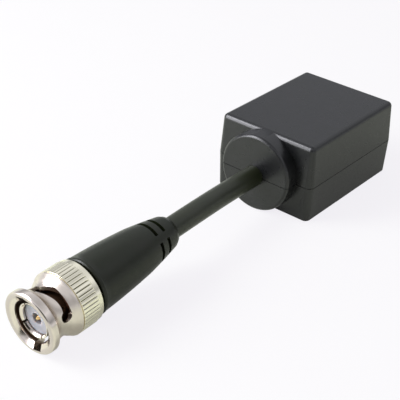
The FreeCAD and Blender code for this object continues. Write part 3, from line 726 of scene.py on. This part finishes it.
def slot_tools(places, floors, width, bridge_angle, bridge_width, radius, steps=20):
    """Curved blocks, four to a row, that leave a bridge of one width between them."""
    corners, faces = [], []
    outside = 7
    for place, floor in zip(places, floors):
        for quarter in range(4):
            first = len(corners)
            gap = math.degrees(bridge_width / 2 / radius)
            start, end = bridge_angle + 90 * quarter + gap, bridge_angle + 90 * (quarter + 1) - gap
            for step in range(steps + 1):
                angle = math.radians(start + (end - start) * step / steps)
                for r, z in ((floor, place - width / 2), (outside, place - width / 2),
                             (outside, place + width / 2), (floor, place + width / 2)):
                    corners.append(turned_point(PLUG, r, angle, z))
            faces += [tuple(first + corner for corner in face) for face in ring_faces(steps + 1, 4, False)]
    return add_piece("slots", corners, faces, None, None)


slot_row = boot_start + 19.3
carve(boot, slot_tools(places=(slot_row, slot_row + 2.6), floors=(3.6, 3.3), width=0.9,
                       bridge_angle=139.6, bridge_width=1.7, radius=4.6))
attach(boot, "box_and_cable")
smooth(boot)
print("boot", len(boot.data.polygons), "faces")

# %% [markdown]
# ## The coupling nut
#
# The nut is turned from bar: a flange at the mouth, a hollow waist, a flare, a groove and a knurled grip.
# Its knurl could be a bump in the material, but it is cut into the blank as real grooves, because they
# make the bright and dark bars that the eye reads as a grip.

# %% Nut blank
nut_length = 14.1
nut_bore, rear_bore = 4.9, 5.25
room_radius, room_start, room_end = 6.1, 8.4, 12.4
grip_radius = 7.25
knurl_start, knurl_end = 8.4, 12.6
run_in, run_out = 0.3, 0.6
groove_count, steps_per_groove = 48, 8
groove_cut, groove_flank = 0.24, 0.2
flange_back = (6.88, 1.95)
waist = (5.75, 4.9)
flare = (6.45, 6.6)
nut_profile = soften(
    [(nut_bore, 0.78, 0.12), (6.1, 0, 0.12), (6.42, 0, 0), (flange_radius, 0.02, 0.62),
     (flange_radius, 1.75, 0.16), (*flange_back, 0.08)]
    + bulge(flange_back, waist, -0.34, 12) + [(*waist, 0)] + bulge(waist, flare, -0.16, 8)
    + [(*flare, 0), (6.75, 7.15, 0), (7.0, 7.55, 0), (7.18, 7.8, 0), (grip_radius, 8.0, 0.08),
       (grip_radius, 8.12, 0.06), (6.92, 8.16, 0.04), (6.92, knurl_start - 0.02, 0.04),
       (grip_radius, knurl_start + 0.02, 0.05), (grip_radius, knurl_start + run_in, 0),
       (grip_radius, knurl_end - run_out, 0), (grip_radius, knurl_end, 0),
       (flange_radius, knurl_end + 0.12, 0.06), (flange_radius, nut_length - 0.35, 0.12),
       (6.75, nut_length, 0.12), (rear_bore, nut_length, 0.05), (rear_bore, room_end, 0),
       (room_radius, room_end, 0), (room_radius, room_start, 0), (nut_bore, room_start, 0)])


def knurl(index, r, z):
    """How far a point of the blank drops into a groove of the knurl."""
    if not (knurl_start < z < knurl_end and r > flange_radius):
        return 0.0
    off = min(index % steps_per_groove, steps_per_groove - index % steps_per_groove)
    fade = min(1.0, (z - knurl_start) / run_in, (knurl_end - z) / run_out)
    return max(0.0, groove_cut - groove_flank * off) * fade


corners, faces = spun(nut_profile, groove_count * steps_per_groove, PLUG, knurl)
nut = add_piece("turned_nut", corners, faces, nickel, "nickel_plate", "coupling_nut")
print("blank", len(faces), "faces")

# %% [markdown]
# ## Keyways and cam slots
#
# A mill cuts two keyways from the mouth, and from each a cam slot that runs round a quarter of the waist
# and ends in a round notch, where the socket's stud comes to rest. The cutters are a box, a band that
# climbs with the angle, and a rod.

# %% Keyways and cam slots
key_angle, key_width, key_reach = 74.0, 2.3, 6.15
cam_reach, cam_floor = 6.25, 3.9
detent_angle, detent_place, detent_depth = 164.0, 5.1, 3.4
cam_steps = [(0.0, -1.3), (0.3, 0.05), (0.55, 0.83), (0.78, 1.0), (1.0, 0.45)]
softening = (-0.06, -0.03, 0, 0.03, 0.06)


def cam_place(share):
    """The slot's middle along the axis, read between the steps of its path."""
    shares, rises = zip(*cam_steps)
    return detent_place + float(np.interp(share, shares, rises))


def cam_tools(turn_by, steps=48):
    """The cam slot, the keyway and the notch of one track, as three blocks."""
    half = key_width / 2
    corners = []
    for step in range(steps + 1):
        share = step / steps
        angle = math.radians(key_angle + turn_by + (detent_angle - key_angle) * share)
        middle = sum(cam_place(min(max(share + off, 0), 1)) for off in softening) / len(softening)
        for r, z in ((cam_floor, middle - half), (cam_reach, middle - half),
                     (cam_reach, middle + half), (cam_floor, middle + half)):
            corners.append(turned_point(PLUG, r, angle, z))
    track = add_piece("track", corners, ring_faces(steps + 1, 4, False), None, None)
    keyway = box_of("keyway", cam_floor, key_reach, -half, half, -1, cam_place(0) + half)
    keyway.data.transform(PLUG @ Matrix.Rotation(math.radians(key_angle + turn_by), 4, "Z"))
    notch = rod_of("notch", half, (0, cam_floor, detent_place), detent_depth, 48)
    notch.data.transform(PLUG @ Matrix.Rotation(math.radians(detent_angle + turn_by - 90), 4, "Z"))
    return track, keyway, notch


for turn_by in (0, 180):
    for tool in cam_tools(turn_by):
        carve(nut, tool)
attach(nut, "nut_body")
smooth(nut, 28)
print("nut", len(nut.data.polygons), "faces")

# %% [markdown]
# ## The wave spring
#
# Behind the body's flange a thin steel washer waves three times round. It pushes the nut back and goes
# nearly flat when the nut is pulled forward, and a stiff CAD solid can't do that. So it is drawn again as
# one strip swept round in small steps.

# %% Wave spring
spring_front, spring_height, strip = 10.52, 1.26, 0.3
spring_inner, spring_outer = 4.9, 5.8
spring_waves, spring_steps = 3, 120
rows = []
for step in range(spring_steps):
    angle = 2 * math.pi * step / spring_steps
    lift = (spring_height - strip) * (1 + math.cos(spring_waves * angle)) / 2
    for r, z in ((spring_inner, 0), (spring_outer, 0), (spring_outer, strip), (spring_inner, strip)):
        rows.append(turned_point(PLUG, r, angle, spring_front + lift + z))
strip_faces = ring_faces(spring_steps, 4, True)
spring = add_piece("waved_spring", rows, strip_faces, steel, "spring_steel", "wave_spring")
smooth(spring, 28)
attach(spring, "box_and_cable")
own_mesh(spring)
print("spring", len(spring.data.polygons), "faces")

# %% [markdown]
# ## What travels on the cord
#
# The boot, the nut and everything inside them hang on the end of the cable.

# %% [markdown]
# ## The backdrop
#
# The picture is a catalogue shot on white. The camera sees the world and the floor as plain white. Gloss
# sees a studio instead: white at the horizon and high up, with a grey band between them and one dark side
# in front, so that the plated nut has something to show. Matt surfaces get a plain grey fill. A real
# backdrop could stand there as geometry, but the world costs nothing and never gets in the way.

# %% World
def in_sight(tree, by_camera, by_mirror):
    """A share for the camera's rays, and one for those that gloss and glass send on."""
    rays = tree.nodes.new("ShaderNodeLightPath")
    total = None
    for kind, share in (("Is Camera Ray", by_camera), ("Is Glossy Ray", by_mirror),
                        ("Is Transmission Ray", by_mirror)):
        step = tree.nodes.new("ShaderNodeMath")
        step.operation = "MULTIPLY_ADD"
        step.use_clamp = True
        step.inputs[1].default_value = share
        step.inputs[2].default_value = 0.0
        tree.links.new(rays.outputs[kind], step.inputs[0])
        if total is not None:
            tree.links.new(total, step.inputs[2])
        total = step.outputs["Value"]
    return total


world = bpy.data.worlds.new("white studio")
bpy.context.scene.world = world
world.use_nodes = True
tree = world.node_tree
direction = tree.nodes.new("ShaderNodeTexCoord").outputs["Generated"]
skyward = tree.nodes.new("ShaderNodeSeparateXYZ")
tree.links.new(direction, skyward.inputs["Vector"])
backdrop = tree.nodes.new("ShaderNodeValToRGB")
backdrop_levels = ((0.06, 1.0), (0.24, 0.35), (0.5, 0.68), (0.66, 1.0), (0.95, 0.6))
for place, value in backdrop_levels[2:]:
    backdrop.color_ramp.elements.new(place)
for element, (place, value) in zip(backdrop.color_ramp.elements, backdrop_levels):
    element.position = place
    element.color = (0.96 * value, 0.98 * value, 1.04 * value, 1)
tree.links.new(skyward.outputs["Z"], backdrop.inputs["Fac"])
towards = tree.nodes.new("ShaderNodeVectorMath")
towards.operation = "DOT_PRODUCT"
towards.inputs[1].default_value = Vector((0.25, -0.93, 0.22)).normalized()
tree.links.new(direction, towards.inputs[0])
dark_side = between(tree, towards.outputs["Value"], 0.9, 0.93)
studio = mixed(tree, dark_side, backdrop.outputs["Color"], (0.03, 0.03, 0.03, 1))
studio = mixed(tree, in_sight(tree, 1.0, 0.0), studio, (1, 1, 1, 1))
fill = tree.nodes.new("ShaderNodeMix")
fill.data_type = "RGBA"
fill.inputs["A"].default_value = (0.45, 0.45, 0.46, 1)
tree.links.new(in_sight(tree, 1.0, 1.0), fill.inputs["Factor"])
tree.links.new(studio, fill.inputs["B"])
tree.links.new(fill.outputs["Result"], tree.nodes["Background"].inputs["Color"])
print(len(tree.nodes), "nodes in the world")

# %% [markdown]
# ## The table
#
# The floor is white paper. Most of what the camera sees of it is a plain white glow, so that it meets the
# white world without a seam. The rest is lit paper, which takes the object's soft shadow. A floor that
# only catches shadows would leave the plug nothing pale to reflect from below.

# %% Floor
floor_half = 3
floor_data = bpy.data.meshes.new("floor")
floor_corners = [(x * floor_half, y * floor_half, 0) for x, y in ((-1, -1), (1, -1), (1, 1), (-1, 1))]
floor_data.from_pydata(floor_corners, [], [(0, 1, 2, 3)])
floor = in_scene("floor", floor_data)
paper, tree, shader, place = blank_material("white paper")
paper_shade = ramp(tree, noise(tree, place, 20), (0.79, 0.84, 0.67), (0.81, 0.86, 0.69))
tree.links.new(paper_shade, shader.inputs["Base Color"])
shader.inputs["Roughness"].default_value = 0.8
glow = tree.nodes.new("ShaderNodeEmission")
glow.inputs["Color"].default_value = (1.0, 0.98, 1.03, 1)
blend = tree.nodes.new("ShaderNodeMixShader")
tree.links.new(in_sight(tree, 0.84, 0.2), blend.inputs["Fac"])
tree.links.new(shader.outputs["BSDF"], blend.inputs[1])
tree.links.new(glow.outputs["Emission"], blend.inputs[2])
tree.links.new(blend.outputs["Shader"], tree.nodes["Material Output"].inputs["Surface"])
floor_data.materials.append(paper)
print("floor of", 2 * floor_half, "m")

# %% [markdown]
# ## The lamps
#
# Two soft boxes stand in front on the left, a key above and a low one near the table. The cloth of a real
# soft box is brightest in its middle, and that keeps its edge soft where the nut mirrors it.

# %% Lamps
def soft_lamp(name, place, aim, size, watts):
    """A soft box that looks from one point to another. Its cloth is brightest in the middle."""
    data = bpy.data.lights.new(name, "AREA")
    data.size = size
    data.energy = watts
    data.color = (0.94, 0.94, 1.0)
    data.use_nodes = True
    tree = data.node_tree
    spread = tree.nodes.new("ShaderNodeVectorMath")
    spread.operation = "DISTANCE"
    spread.inputs[1].default_value = (0.5, 0.5, 0)
    tree.links.new(tree.nodes.new("ShaderNodeNewGeometry").outputs["Parametric"], spread.inputs[0])
    cloth = between(tree, spread.outputs["Value"], 0.5, 0.15)
    tree.links.new(cloth, tree.nodes["Emission"].inputs["Strength"])
    lamp = in_scene(name, data)
    lamp.location = place
    lamp.rotation_mode = "QUATERNION"
    lamp.rotation_quaternion = (Vector(aim) - Vector(place)).to_track_quat("-Z", "Y")


middle = Vector((0, -35, 8)) * MM
soft_lamp("key", (-0.285, -0.27, 0.33), middle, size=0.36, watts=5.6)
soft_lamp("low", (-0.30, -0.38, 0.12), middle, size=0.42, watts=5.0)
bpy.context.scene.view_settings.view_transform = "Standard"
print(len(bpy.data.lights), "lamps")
